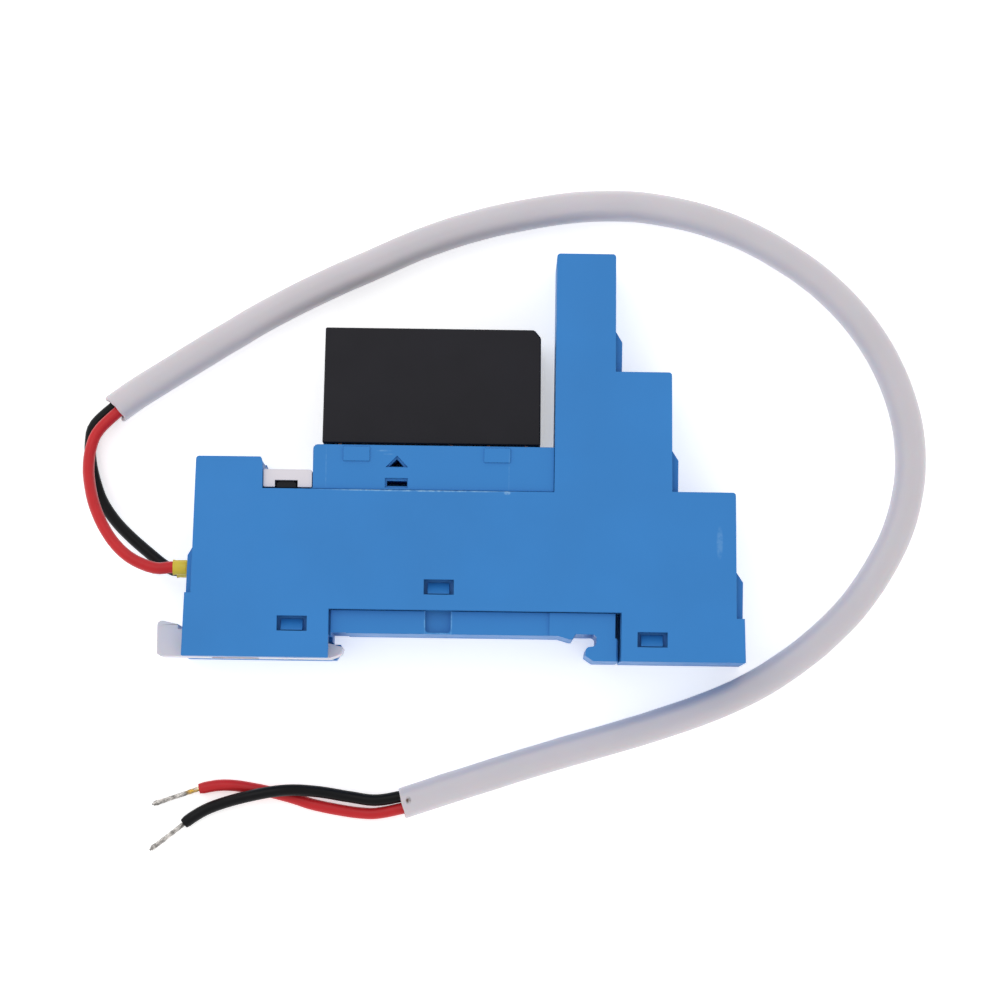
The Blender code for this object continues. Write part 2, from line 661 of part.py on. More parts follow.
def magnet(plastic, copper, iron):
    """Bobbin, winding, core and the L-shaped yoke."""
    middle = THICKNESS / 2
    bobbin = merged("coil_bobbin", [
        relay_box("flange", (a, 3.7, 4.6), (a + 0.6, 10.3, 11.2)) for a in (4.5, 14.1)])
    join(bobbin, cone("bobbin_tube", in_relay(4.7, COIL_AXIS, middle), "x", 9.8, 2.5))
    cut(bobbin, cone("bobbin_bore", in_relay(4, COIL_AXIS, middle), "x", 12, 2.05))
    finish(bobbin, plastic)
    winding = cone("coil_winding", in_relay(5.4, COIL_AXIS, middle), "x", 8.4, 3.2, sides=24)
    cut(winding, cone("winding_bore", in_relay(5, COIL_AXIS, middle), "x", 9.5, 2.8, sides=24))
    finish(winding, copper, smooth=True)
    profile = [(0, 11.7), (1.75, 11.7), (1.75, 0.6), (2.4, 0.6), (2.4, 0), (0, 0)]
    finish(turned("coil_core", profile, in_relay(3.6, COIL_AXIS, middle), "x"), iron, smooth=True)
    corner = [(3.6, 2.4), (16.4, 2.4), (16.4, 11.0), (15.6, 11.0), (15.6, 3.3), (3.6, 3.3)]
    yoke_outline = [in_relay(a, b, 0)[:2] for a, b in corner]
    finish(prism("yoke", yoke_outline, 4.9, 10.9), iron)


def armature(look):
    hinge = in_relay(HINGE_A, HINGE_B + 0.4, THICKNESS / 2)
    plate = relay_box("armature", (2.0, 2.3, 4.9), (3.0, 14.0, 10.9))
    return finish(plate, look, hinge)


def pusher_card(look):
    card = relay_box("pusher_card", (3.35, 13.1, 4.6), (21.55, 14.05, 11.2))
    wings = relay_box("card_wings", (19.6, 13.2, 2.9), (21.5, 13.95, 12.9))
    join(card, wings)
    return finish(card, look)


def relay_blade(name, pin_at, blade_at, height, rivets, look):
    """A relay contact: its pin, its foot, its blade and its rivets, in the near row."""
    foot, half_width = [(pin_at, -0.5)], 0.5
    if blade_at != pin_at:
        foot, half_width = foot + [(pin_at, 2.6), (blade_at, 2.6)], 0.7
    path = [in_relay(a, b, 0)[:2] for a, b in foot + [(blade_at, height)]]
    body = row_strip(name, path, 0.4, half_width)
    join(body, relay_box(name + "_pin", (pin_at - 0.25, PIN_TIP, PIN_ROW - 0.5),
                         (pin_at + 0.25, 1.8, PIN_ROW + 0.5)))
    join(body, relay_box(name + "_blade", (blade_at - 0.15, 4.0, PIN_ROW - 1.25),
                         (blade_at + 0.15, height - 0.2, PIN_ROW + 1.25)))
    for i, (start, length) in enumerate(rivets):
        tool = cone(f"{name}_rivet_{i}", in_relay(start, 10, PIN_ROW), "x", length, 1.0, sides=12)
        join(body, tool)
    return finish(baked(body), look)


def relay_contacts(copper):
    blades = {
        "nc_contact": (PIN_AT["nc"], 19.6, 12.2, [(19.6, 1.35)]),
        "moving_contact": (PIN_AT["com"], PIN_AT["com"], 13.9, [(21.3, 1.4)]),
        "no_contact": (PIN_AT["no"], 24.4, 12.2, [(23.5, 0.9)]),
    }
    for name, shape in blades.items():
        relay_blade(name + "_1", *shape, copper)
        far = to_far_row(relay_blade("twin", *shape, copper), copper)
        far.name = name + "_2"


def coil_pins(look):
    at = PIN_AT["a"]
    for name, row in (("coil_pin_1", PIN_ROW), ("coil_pin_2", THICKNESS - PIN_ROW)):
        finish(relay_box(name, (at - 0.25, PIN_TIP, row - 0.5), (at + 0.25, 1.7, row + 0.5)), look)


# ---------------------------------------------------------------- lead

def ferrule(name, row, look):
    """A crimped end sleeve: a flared collar outside the entry and a barrel in the clamp."""
    profile = [(0, 8.5), (0.7, 8.5), (0.7, 2.45), (1.0, 2.05), (1.05, 0), (0, 0)]
    return finish(turned(name, profile, (1.75, FERRULE_AT, row), "x"), look, smooth=True)


def lead(sheath, red, black, tin):
    pieces = [
        ("cable_sheath", SHEATH_ROUTE, SHEATH_R, 9.0, 3, sheath),
        ("red_lead", RED_LEAD_ROUTE, WIRE_R, 2.6, 2, red),
        ("black_lead", BLACK_LEAD_ROUTE, WIRE_R, 2.6, 2, black),
        ("red_tail", RED_TAIL_ROUTE, WIRE_R, 3.2, 2, red),
        ("black_tail", BLACK_TAIL_ROUTE, WIRE_R, 3.2, 2, black),
        ("red_tip", RED_TIP_ROUTE, STRAND_R, 3.0, 1, tin),
        ("black_tip", BLACK_TIP_ROUTE, STRAND_R, 3.0, 1, tin),
    ]
    for name, route, radius, spacing, sides, look in pieces:
        tube(name, route, radius, spacing, sides).data.materials.append(look)


# ---------------------------------------------------------------- the whole object

empty_scene()
PARTS = collection(OBJECT_NAME)
CUTTERS = collection("cutters")

BLUE = material("blue_plastic", (0.05, 0.22, 0.56), 0.5)
NYLON = material("natural_nylon", (0.62, 0.61, 0.66), 0.45)
WHITE = material("white_plastic", (0.83, 0.80, 0.84), 0.4)
CASE = material("black_plastic", (0.03, 0.029, 0.036), 0.45)
AMBER = material("bobbin_plastic", (0.25, 0.22, 0.18), 0.6)
STEEL = material("zinc_steel", (0.6, 0.6, 0.58), 0.35, 1.0)
BRASS = material("tinned_brass", (0.7, 0.62, 0.42), 0.35, 1.0)
COPPER = material("copper_alloy", (0.72, 0.43, 0.28), 0.35, 1.0)
IRON = material("soft_iron", (0.42, 0.42, 0.44), 0.4, 1.0)
YELLOW = material("yellow_collar", (0.57, 0.47, 0.05), 0.45)
RED = material("red_insulation", (0.56, 0.02, 0.03), 0.4)
BLACK = material("black_insulation", (0.012, 0.012, 0.014), 0.4)
SHEATH = material("white_sheath", (0.72, 0.70, 0.72), 0.45)
TIN = material("tinned_copper", (0.72, 0.70, 0.68), 0.3, 1.0)

main_housing(BLUE)
cover("front_cover", BLUE, COVER_INSIDE, THICKNESS)
cover("rear_cover", BLUE, 0, THICKNESS - COVER_INSIDE)
terminals(STEEL, BRASS)
marker_tag(WHITE)
recess_rib(CASE)
din_clip(NYLON)
clip_spring(STEEL)

relay_case(CASE)
relay_base(CASE)
magnet(AMBER, COPPER, IRON)
armature(IRON)
pusher_card(AMBER)
relay_contacts(COPPER)
coil_pins(COPPER)

ferrule("ferrule_red", SCREW_ROW, YELLOW)
ferrule("ferrule_black", THICKNESS - SCREW_ROW, YELLOW)
lead(SHEATH, RED, BLACK, TIN)
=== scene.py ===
"""Looks of the relay socket with its plug-in relay and two-core lead.

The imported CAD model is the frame: its parts keep their shapes and get their finishes here,
while the lead and its wire end sleeves are built in detail and take the place of their plain
CAD solids.  Every length is in metres, in the frame of the CAD model.
"""

import json
import math

import bmesh
import bpy
from mathutils import Matrix, Vector, noise


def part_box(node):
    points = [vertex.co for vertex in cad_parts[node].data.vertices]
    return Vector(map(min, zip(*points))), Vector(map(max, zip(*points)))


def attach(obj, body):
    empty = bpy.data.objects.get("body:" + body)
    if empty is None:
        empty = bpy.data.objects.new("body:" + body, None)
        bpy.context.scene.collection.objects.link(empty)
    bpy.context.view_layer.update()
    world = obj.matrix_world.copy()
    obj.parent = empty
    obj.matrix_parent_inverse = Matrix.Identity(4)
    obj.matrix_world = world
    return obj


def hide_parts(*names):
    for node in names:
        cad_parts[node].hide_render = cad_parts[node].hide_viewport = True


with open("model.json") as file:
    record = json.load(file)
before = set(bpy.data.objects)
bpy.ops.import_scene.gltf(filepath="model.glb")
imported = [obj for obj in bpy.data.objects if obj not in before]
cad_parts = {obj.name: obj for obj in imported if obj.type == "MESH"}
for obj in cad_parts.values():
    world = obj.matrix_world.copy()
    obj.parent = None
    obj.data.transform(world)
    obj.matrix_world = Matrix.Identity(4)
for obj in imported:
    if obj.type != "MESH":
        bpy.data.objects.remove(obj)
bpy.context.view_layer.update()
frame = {"nodes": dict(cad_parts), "record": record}
NODES = frame["nodes"]
MM = 0.001

# ---------------------------------------------------------------- the lead's route

# centrelines of the sheath and of the two wires outside it, as in the CAD model
SHEATH_ROUTE = [
    (-0.0466, 0.0068, 0.0022), (-0.0436, 0.009, 0.0022), (-0.0382, 0.0125, 0.0022),
    (-0.0322, 0.0163, 0.0022), (-0.0256, 0.0203, 0.0022), (-0.0186, 0.024, 0.0022),
    (-0.0117, 0.0272, 0.0022), (-0.0048, 0.0303, 0.0022), (0.0021, 0.0327, 0.0022),
    (0.0091, 0.0344, 0.0022), (0.0159, 0.0355, 0.0022), (0.0215, 0.0358, 0.0022),
    (0.0265, 0.0355, 0.0022), (0.0331, 0.0342, 0.0022), (0.0391, 0.0321, 0.0022),
    (0.0448, 0.0291, 0.0022), (0.0504, 0.0251, 0.0022), (0.0553, 0.02, 0.0022),
    (0.0591, 0.014, 0.0022), (0.0615, 0.0075, 0.0022), (0.0623, 0.0016, 0.0022),
    (0.0618, -0.004, 0.0022), (0.0602, -0.0094, 0.0022), (0.0576, -0.0144, 0.0022),
    (0.0543, -0.0191, 0.0022), (0.0502, -0.0233, 0.0022), (0.0453, -0.0272, 0.0022),
    (0.0399, -0.0305, 0.0022), (0.0338, -0.0332, 0.0022), (0.0276, -0.0354, 0.0022),
    (0.0213, -0.0374, 0.0022), (0.015, -0.0393, 0.0022), (0.0096, -0.041, 0.0022),
    (0.0042, -0.0428, 0.0022), (-0.0007, -0.0444, 0.0022), (-0.0065, -0.0464, 0.0022),
]
RED_LEAD_ROUTE = [
    (-0.038, -0.01522, 0.0114), (-0.0393, -0.0154, 0.0114), (-0.0409, -0.0151, 0.0113),
    (-0.0433, -0.014, 0.0109), (-0.0454, -0.0122, 0.0101), (-0.0472, -0.0097, 0.009),
    (-0.0486, -0.0068, 0.0076), (-0.0494, -0.0041, 0.0061), (-0.0498, -0.0015, 0.0048),
    (-0.0496, 0.0014, 0.0038), (-0.0485, 0.004, 0.0032), (-0.0466, 0.0059, 0.00295),
]
BLACK_LEAD_ROUTE = [
    (-0.038, -0.01522, 0.0044), (-0.0395, -0.0144, 0.0043), (-0.0414, -0.0129, 0.0038),
    (-0.0439, -0.0108, 0.003), (-0.0462, -0.0085, 0.002), (-0.0481, -0.0058, 0.0013),
    (-0.0492, -0.003, 0.0009), (-0.04985, -0.0003, 0.00085), (-0.05, 0.0023, 0.0009),
    (-0.0493, 0.0049, 0.00115), (-0.0476, 0.0069, 0.0015),
]
BLACK_TAIL_ROUTE = [
    (-0.0072, -0.04575, 0.0022), (-0.0097, -0.046, 0.0019), (-0.0137, -0.0456, 0.0015),
    (-0.0177, -0.045, 0.0017), (-0.0213, -0.0448, 0.0024), (-0.0244, -0.0451, 0.00265),
    (-0.0281, -0.0459, 0.0021), (-0.0312, -0.0468, 0.0013), (-0.0334, -0.0477, 0.0009),
    (-0.0352, -0.0488, 0.00085), (-0.0362, -0.0496, 0.00085),
]
RED_TAIL_ROUTE = [
    (-0.0069, -0.04735, 0.002), (-0.0093, -0.0477, 0.0014), (-0.0119, -0.0478, 0.0009),
    (-0.0151, -0.0474, 0.00085), (-0.0187, -0.0467, 0.00085), (-0.0213, -0.0459, 0.00085),
    (-0.0245, -0.0451, 0.00085), (-0.0272, -0.0446, 0.00085), (-0.0293, -0.0443, 0.00085),
    (-0.0316, -0.0443, 0.00085), (-0.0342, -0.0448, 0.00085),
]
RED_TIP_ROUTE = [
    (-0.0345, -0.0449, 0.00085), (-0.0375, -0.04595, 0.00055), (-0.0406, -0.047, 0.0004),
]
BLACK_TIP_ROUTE = [
    (-0.03645, -0.0498, 0.00085), (-0.0386, -0.0515, 0.00055), (-0.0408, -0.0532, 0.0004),
]

SHEATH_RADIUS, SHEATH_BORE = 2.15 * MM, 1.66 * MM
# each wire, and how far its middle lies from the sheath's
WIRE_RADIUS, WIRE_OFFSET = 0.8 * MM, 0.82 * MM
# how far the wires reach into the collars, and the strands into the insulation
IN_COLLAR, IN_INSULATION = 1.7 * MM, 0.8 * MM
# where the red wire lies round the sheath's centreline at its two ends, and the turns between
RED_START_ANGLE, RED_END_ANGLE, WHOLE_TURNS = math.radians(45), math.radians(190), 2
# distances between the points of the smooth lines
SHEATH_SPACING, TWIST_SPACING = 1.1 * MM, 2.2 * MM
WIRE_SPACING, STRAND_SPACING = 0.7 * MM, 0.25 * MM


def smooth(route, spacing):
    """Points every spacing or so on a smooth curve through the route's points."""
    knots = [Vector(p) for p in route]
    knots = [knots[0] * 2 - knots[1]] + knots + [knots[-1] * 2 - knots[-2]]
    points = [knots[1]]
    for a, b, c, d in zip(knots, knots[1:], knots[2:], knots[3:]):
        count = max(1, round((c - b).length / spacing))
        for i in range(1, count + 1):
            t = i / count
            points.append(0.5 * (
                2 * b + (c - a) * t + (2 * a - 5 * b + 4 * c - d) * t ** 2
                + (3 * b - a - 3 * c + d) * t ** 3))
    return points


def frames_along(points):
    """For each point: (point, direction of travel, level direction to its right, third)."""
    made = []
    for i, point in enumerate(points):
        ahead = (points[min(i + 1, len(points) - 1)] - points[max(i - 1, 0)]).normalized()
        right = ahead.cross(Vector((0, 0, 1))).normalized()
        made.append((point, ahead, right, right.cross(ahead)))
    return made


# ---------------------------------------------------------------- camera

# the point the camera looks at, and where it stands from there
CAMERA_AIM = Vector((6.24, -5.87, 15.8)) * MM
CAMERA_BACK = Vector((0, -40, 550)) * MM
CAMERA_ROLL = math.radians(0.8)
SENSOR, LENS = 36.0, 148.9
CLIP_START, CLIP_END = 0.01, 20


def add_camera():
    """The camera, nearly straight above the object."""
    data = bpy.data.cameras.new("camera")
    data.sensor_width, data.lens = SENSOR, LENS
    data.clip_start, data.clip_end = CLIP_START, CLIP_END
    camera = bpy.data.objects.new("camera", data)
    bpy.context.scene.collection.objects.link(camera)
    aim = CAMERA_BACK.to_track_quat("Z", "Y").to_matrix().to_4x4()
    roll = Matrix.Rotation(CAMERA_ROLL, 4, "Z")
    camera.matrix_world = Matrix.Translation(CAMERA_AIM + CAMERA_BACK) @ aim @ roll
    bpy.context.scene.camera = camera


add_camera()


# ---------------------------------------------------------------- materials

EDGE_RADIUS, EDGE_SAMPLES = 0.12 * MM, 4    # softly broken edges, in the shading only
SUBSURFACE_DEPTH = 0.6 * MM
BROAD_DETAIL, FINE_DETAIL = 4.0, 2.0
GLOSS_PATCH = 0.4                           # size of gloss patches, as a share of the tone's
DARK_AT, LIGHT_AT = 0.3, 0.7                # where noise counts as fully dark or light
# worn places and painted highlights are broken up by speckles of that size, from that faintest
# share to full, and fade out from that share of their half size
SPECKLE_SIZE, SPECKLE_LEAST = 0.25 * MM, 0.15
SPECKLE_FROM, SPECKLE_FULL = 0.35, 0.6
FADE_FROM = 0.6
WINDING_PITCH, WINDING_DEPTH = 0.1 * MM, 0.05 * MM
WAVE_PERIOD = 0.3                           # about what a wave texture has at scale 1


def linear(*levels):
    """A colour from its 0 to 255 display levels."""
    shares = [level / 255 for level in levels]
    return [s / 12.92 if s <= 0.04045 else ((s + 0.055) / 1.055) ** 2.4 for s in shares]


def node(tree, kind, inputs=None, **settings):
    """A shader node, with its settings, and its inputs as values or as sockets to link."""
    made = tree.nodes.new("ShaderNode" + kind)
    for key, value in settings.items():
        setattr(made, key, value)
    for key, value in (inputs or {}).items():
        if isinstance(value, bpy.types.NodeSocket):
            tree.links.new(value, made.inputs[key])
        else:
            made.inputs[key].default_value = value
    return made


def between(tree, factor, low, high, start=DARK_AT, end=LIGHT_AT):
    """A value that goes from low to high as the factor goes from start to end."""
    return node(tree, "MapRange", {
        "Value": factor, "From Min": start, "From Max": end, "To Min": low, "To Max": high,
    }).outputs["Result"]


def two_tones(tree, factor, dark, light):
    """A colour that goes from dark to light over the middle of the noise's range."""
    made = node(tree, "ValToRGB", {"Fac": factor})
    stops = [(DARK_AT, dark), (LIGHT_AT, light)]
    for element, (position, colour) in zip(made.color_ramp.elements, stops):
        element.position = position
        element.color = (*colour, 1)
    return made.outputs["Color"]


def noise_of(tree, place, size, detail, stretch=None):
    """Noise with patches of about that size, in metres."""
    if stretch:
        place = node(tree, "Mapping", {"Vector": place, "Scale": stretch}).outputs["Vector"]
    return node(tree, "TexNoise", {
        "Vector": place, "Scale": 0.5 / size, "Detail": detail}).outputs["Fac"]


def surface(name, colour, roughness, metallic=0.0, mottle=0.05, patch=6 * MM, gloss=0.06,
            grain=0.25 * MM, depth=0.004 * MM, wave=0.0, specular=0.5, subsurface=0.0,
            stretch=None):
    """A finish with uneven tone and gloss, fine grain, faint waves and softly broken edges.

    mottle is how much the tone varies over patches of size patch, and gloss how much the
    roughness does.  grain and depth are the size and height of the fine grain, wave is the
    height of the waves, and stretch scales the noise along X, Y and Z."""
    made = bpy.data.materials.new(name)
    made.use_nodes = True
    tree = made.node_tree
    shader = tree.nodes["Principled BSDF"]
    place = node(tree, "TexCoord").outputs["Object"]
    broad = noise_of(tree, place, patch, BROAD_DETAIL, stretch)
    fine = noise_of(tree, place, grain, FINE_DETAIL, stretch)
    light, dark = ([min(1, c * (1 + s * mottle)) for c in colour] for s in (1, -1))
    tree.links.new(two_tones(tree, broad, dark, light), shader.inputs["Base Color"])
    uneven = noise_of(tree, place, patch * GLOSS_PATCH, BROAD_DETAIL, stretch)
    tree.links.new(between(tree, uneven, roughness - gloss, roughness + gloss),
                   shader.inputs["Roughness"])
    normal = node(tree, "Bevel", {"Radius": EDGE_RADIUS},
                  samples=EDGE_SAMPLES).outputs["Normal"]
    if wave:
        normal = node(tree, "Bump", {"Strength": 1.0, "Distance": wave, "Height": broad,
                                     "Normal": normal}).outputs["Normal"]
    normal = node(tree, "Bump", {"Strength": 1.0, "Distance": depth, "Height": fine,
                                 "Normal": normal}).outputs["Normal"]
    tree.links.new(normal, shader.inputs["Normal"])
    shader.inputs["Metallic"].default_value = metallic
    shader.inputs["Specular IOR Level"].default_value = specular
    shader.inputs["Subsurface Weight"].default_value = subsurface
    shader.inputs["Subsurface Scale"].default_value = SUBSURFACE_DEPTH
    return made


def strand_tin_with_painted_light(name):
    """Bright tin, with painted shade for the gaps between fine strands and painted highlights,
    in strong small patches.
    """
    return surface(name, linear(176, 172, 168), 0.2, metallic=1.0, mottle=0.92,
                   patch=0.42 * MM, grain=0.05 * MM)


SOCKET_BLUE = linear(44, 124, 195)
BLUE = surface("blue_polyamide", SOCKET_BLUE, 0.46, mottle=0.03, patch=9 * MM, specular=0.35)
BLUE_COVER = surface("blue_cover", SOCKET_BLUE, 0.46, mottle=0.04, patch=7 * MM,
                     specular=0.35)
CASE = surface("black_case", linear(22, 21, 28), 0.42, mottle=0.12, patch=5 * MM,
               grain=0.12 * MM, depth=0.005 * MM, specular=0.22)
NYLON = surface("natural_nylon", linear(207, 206, 216), 0.4, mottle=0.04, subsurface=0.35)
WHITE = surface("white_plastic", linear(219, 214, 221), 0.38, mottle=0.02, patch=4 * MM)
BOBBIN = surface("bobbin_plastic", linear(136, 128, 116), 0.55)
ZINC = surface("zinc_plate", linear(204, 204, 200), 0.3, metallic=1.0, mottle=0.12,
               patch=1.2 * MM, grain=0.08 * MM, depth=0.003 * MM)
BRASS = surface("tinned_brass", linear(214, 205, 172), 0.34, metallic=1.0, mottle=0.15,
                patch=1.5 * MM, grain=0.1 * MM, depth=0.003 * MM, stretch=(1, 0.2, 1))
COPPER = surface("copper_alloy", linear(214, 160, 126), 0.33, metallic=1.0, mottle=0.15,
                 patch=1.5 * MM, grain=0.1 * MM, depth=0.003 * MM, stretch=(1, 0.2, 1))
IRON = surface("soft_iron", linear(168, 168, 170), 0.42, metallic=1.0, mottle=0.12,
               patch=2 * MM, grain=0.1 * MM)
YELLOW = surface("yellow_collar", linear(229, 199, 54), 0.4, mottle=0.05, patch=1 * MM,
                 grain=0.1 * MM, subsurface=0.15)
RED = surface("red_insulation", linear(190, 34, 40), 0.34, mottle=0.08, patch=2 * MM,
              wave=0.03 * MM, specular=0.25)
BLACK = surface("black_insulation", linear(12, 12, 15), 0.38, mottle=0.25, patch=2 * MM,
                wave=0.03 * MM, specular=0.15)
SHEATH = surface("white_sheath", linear(200, 195, 201), 0.36, mottle=0.03, patch=7 * MM,
                 wave=0.08 * MM, subsurface=0.25)
TIN = surface("tinned_copper", linear(206, 203, 198), 0.28, metallic=1.0, mottle=0.15,
              patch=0.6 * MM, grain=0.05 * MM)
STRAND = strand_tin_with_painted_light("tinned_strand")
STRAND_BY_RED = strand_tin_with_painted_light("tinned_strand_by_red")


def marked(finish, marks):
    """Small places of wear, stains and painted highlights on a finish, each (centre, half
    size, colour, share).

    Centres and half sizes are in millimetres, in the frame of the CAD model, and the share
    is how much of the colour shows in the middle of the place."""
    tree = finish.node_tree
    shader = tree.nodes["Principled BSDF"]
    place = node(tree, "TexCoord").outputs["Object"]
    fine = noise_of(tree, place, SPECKLE_SIZE, BROAD_DETAIL)
    speckle = between(tree, fine, SPECKLE_LEAST, 1.0, SPECKLE_FROM, SPECKLE_FULL)
    colour = shader.inputs["Base Color"].links[0].from_socket
    for centre, half, tint, share in marks:
        away = node(tree, "VectorMath", {0: place, 1: Vector(centre) * MM},
                    operation="SUBTRACT").outputs[0]
        scaled = node(tree, "VectorMath", {0: away, 1: Vector(half) * MM},
                      operation="DIVIDE").outputs[0]
        reach = node(tree, "VectorMath", {0: scaled}, operation="LENGTH").outputs["Value"]
        faded = between(tree, reach, share, 0, FADE_FROM, 1)
        amount = node(tree, "Math", {0: faded, 1: speckle}, operation="MULTIPLY").outputs[0]
        colour = node(tree, "MixRGB", {"Fac": amount, "Color1": colour,
                                       "Color2": (*linear(*tint), 1)}).outputs["Color"]
    tree.links.new(colour, shader.inputs["Base Color"])


# a painted highlight along the cover's rim where it meets the deck wall, partly whitened by
# wear, and a smear by the contact end
marked(BLUE_COVER, [
    ((-4.9, -4.78, 15.8), (14.0, 0.16, 1), (140, 186, 222), 0.7),
    ((7.2, -4.95, 15.8), (0.5, 0.3, 1), (150, 192, 226), 0.6),
    ((35.6, -11.2, 15.8), (0.5, 2.4, 1), (104, 158, 210), 0.4),
])
# faint flow lines and scratches on the deck wall; painted highlights on the groove rims in the
# rail channel
marked(BLUE, [
    ((-17.05, -1.85, 15.4), (0.08, 3.4, 0.5), (92, 152, 208), 0.5),
    ((7.4, -1.85, 15.4), (0.08, 3.4, 0.5), (92, 152, 208), 0.5),
    ((-9.3, 0.55, 15.4), (1.1, 0.13, 0.5), (112, 166, 214), 0.45),
    ((-8.7, 0.1, 15.4), (0.8, 0.1, 0.5), (112, 166, 214), 0.4),
    ((-3.55, -22.1, 14.6), (0.16, 2.2, 0.6), (104, 168, 222), 0.7),
    ((-0.05, -22.1, 14.6), (0.16, 2.2, 0.6), (104, 168, 222), 0.7),
    ((-1.8, -23.75, 14.6), (2.2, 0.14, 0.6), (104, 168, 222), 0.6),
])
# a small dark brown dot near the sheath's far end, and a yellow stain on the strands of the
# red wire
marked(SHEATH, [((-5.6, -46.0, 4.3), (0.42, 0.62, 0.5), (86, 66, 58), 1.0)])
marked(STRAND_BY_RED, [((-34.6, -44.9, 0.8), (1.7, 1.2, 1.2), (214, 168, 60), 0.95)])


def winding_finish():
    """Enamelled copper wire in close turns, which run round the coil's X axis."""
    made = surface("copper_winding", linear(176, 96, 58), 0.3, metallic=1.0, mottle=0.1)
    tree = made.node_tree
    bump = node(tree, "Bump", {"Strength": 1.0, "Distance": WINDING_DEPTH})
    place = node(tree, "TexCoord").outputs["Object"]
    turns = node(tree, "TexWave", {"Vector": place, "Scale": WAVE_PERIOD / WINDING_PITCH},
                 wave_profile="SIN")
    tree.links.new(turns.outputs["Fac"], bump.inputs["Height"])
    tree.links.new(bump.outputs["Normal"], tree.nodes["Principled BSDF"].inputs["Normal"])
    return made


WINDING = winding_finish()

# the record's slots
FINISHES = {
    "blue_plastic": BLUE, "white_plastic": WHITE, "natural_nylon": NYLON,
    "black_plastic": CASE, "bobbin_plastic": BOBBIN, "zinc_steel": ZINC,
    "tinned_brass": BRASS, "copper_alloy": COPPER, "soft_iron": IRON,
    "yellow_collar": YELLOW, "red_insulation": RED, "black_insulation": BLACK,
    "white_sheath": SHEATH, "tinned_copper": TIN,
}


def finish_cad_nodes():
    """Every CAD part gets the finish of its slot in the record."""
    for part in frame["record"]["subparts"]:
        shown = NODES[part["node"]].data
        shown.materials.clear()
        shown.materials.append(FINISHES[part["material_slot"]])
    NODES["coil_winding"].data.materials[0] = WINDING
    for name in ("front_cover", "rear_cover"):
        NODES[name].data.materials[0] = BLUE_COVER


finish_cad_nodes()


# ---------------------------------------------------------------- pieces

WIRE_END_TAPER = 0.85
SHARP_FROM = math.radians(50)


def add_object(name, data, finish, slot, *replaced):
    """A piece on the socket's body, with its finish; its slot argument is not used."""
    made = bpy.data.objects.new(name, data)
    bpy.context.scene.collection.objects.link(made)
    made.data.materials.append(finish)
    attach(made, "socket")
    if replaced:
        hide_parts(*replaced)
    return made


def round_curve(name, lines, radius, resolution):
    """A curve of one or more open lines of points, as round wire with tapered ends."""
    curve = bpy.data.curves.new(name, "CURVE")
    curve.dimensions = "3D"
    curve.bevel_depth = radius
    curve.bevel_resolution = resolution
    curve.use_fill_caps = True
    for line in lines:
        spline = curve.splines.new("POLY")
        spline.points.add(len(line) - 1)
        for control, point in zip(spline.points, line):
            control.co = (*point, 1)
        for control in (spline.points[0], spline.points[-1]):
            control.radius = WIRE_END_TAPER
    return curve


def closed_mesh(name, rings):
    """A mesh of quads between rings of equal size, with the last ring joined to the first."""
    shape = bmesh.new()
    verts = [[shape.verts.new(p) for p in ring] for ring in rings]
    count = len(rings[0])
    for ring, following in zip(verts, verts[1:] + verts[:1]):
        for i in range(count):
            j = (i + 1) % count
            shape.faces.new((ring[i], ring[j], following[j], following[i]))
    bmesh.ops.recalc_face_normals(shape, faces=shape.faces)
    mesh = bpy.data.meshes.new(name)
    shape.to_mesh(mesh)
    shape.free()
    mesh.shade_smooth()
    mesh.set_sharp_from_angle(angle=SHARP_FROM)
    return mesh


# ---------------------------------------------------------------- sheath

RING_SIDES = 36
# the section is a circle pressed slightly square: 2 would be a true circle
SHEATH_SQUARENESS, SHEATH_SHRINK = 2.4, 0.985
# a faint moulded crease along the sheath, on the upper side of its inner bend
CREASE_AT, CREASE_WIDTH, CREASE_HEIGHT = math.radians(64), 0.2, 0.07 * MM
LUMP_SIZE, LUMP_HEIGHT = 3 * MM, 0.035 * MM
# the slant of each cut end: where round the sheath it reaches furthest, and how far
NEAR_CUT = math.radians(30), 0.3 * MM
FAR_CUT = math.radians(200), 0.12 * MM
# torn edges: how far they reach as a share of the slant, and how closely they follow
TEAR_REACH, TEAR_DENSITY = 1.5, 1.7
sheath_line = smooth(SHEATH_ROUTE, SHEATH_SPACING)


def flattening(angle):
    """How far the section stands from its middle at an angle, as a share of its radius."""
    power = SHEATH_SQUARENESS
    reach = abs(math.cos(angle)) ** power + abs(math.sin(angle)) ** power
    return SHEATH_SHRINK * reach ** (-1 / power)


def sheath_ring(spot, radius, along=0, angle_of_cut=0, cut_height=0):
    """A ring of the sheath, moved along by a slanting torn cut where it is at an end."""
    point, ahead, right, up = spot
    ring = []
    for i in range(RING_SIDES):
        angle = 2 * math.pi * i / RING_SIDES
        side = right * math.cos(angle) + up * math.sin(angle)
        around = noise.noise((point + side * radius) / LUMP_SIZE) * LUMP_HEIGHT
        around += radius * (flattening(angle) - 1)
        around += CREASE_HEIGHT * math.exp(-((angle - CREASE_AT) / CREASE_WIDTH) ** 2)
        torn = noise.noise(
            Vector((math.cos(angle), math.sin(angle), cut_height / MM)) * TEAR_DENSITY)
        shift = along + cut_height * (math.cos(angle - angle_of_cut) + TEAR_REACH * torn)
        ring.append(point + side * (radius + around) + ahead * shift)
    return ring


def sheath_end(spot, sign, cut):
    """The rounded rim of one end, from the outside to the bore, as (radius, inset)."""
    rim = [(SHEATH_RADIUS, 0.3 * MM), (SHEATH_RADIUS - 0.05 * MM, 0.08 * MM),
           (SHEATH_RADIUS - 0.16 * MM, 0), (SHEATH_BORE + 0.1 * MM, 0),
           (SHEATH_BORE, 0.12 * MM)]
    return [sheath_ring(spot, radius, -sign * inset, *cut) for radius, inset in rim]


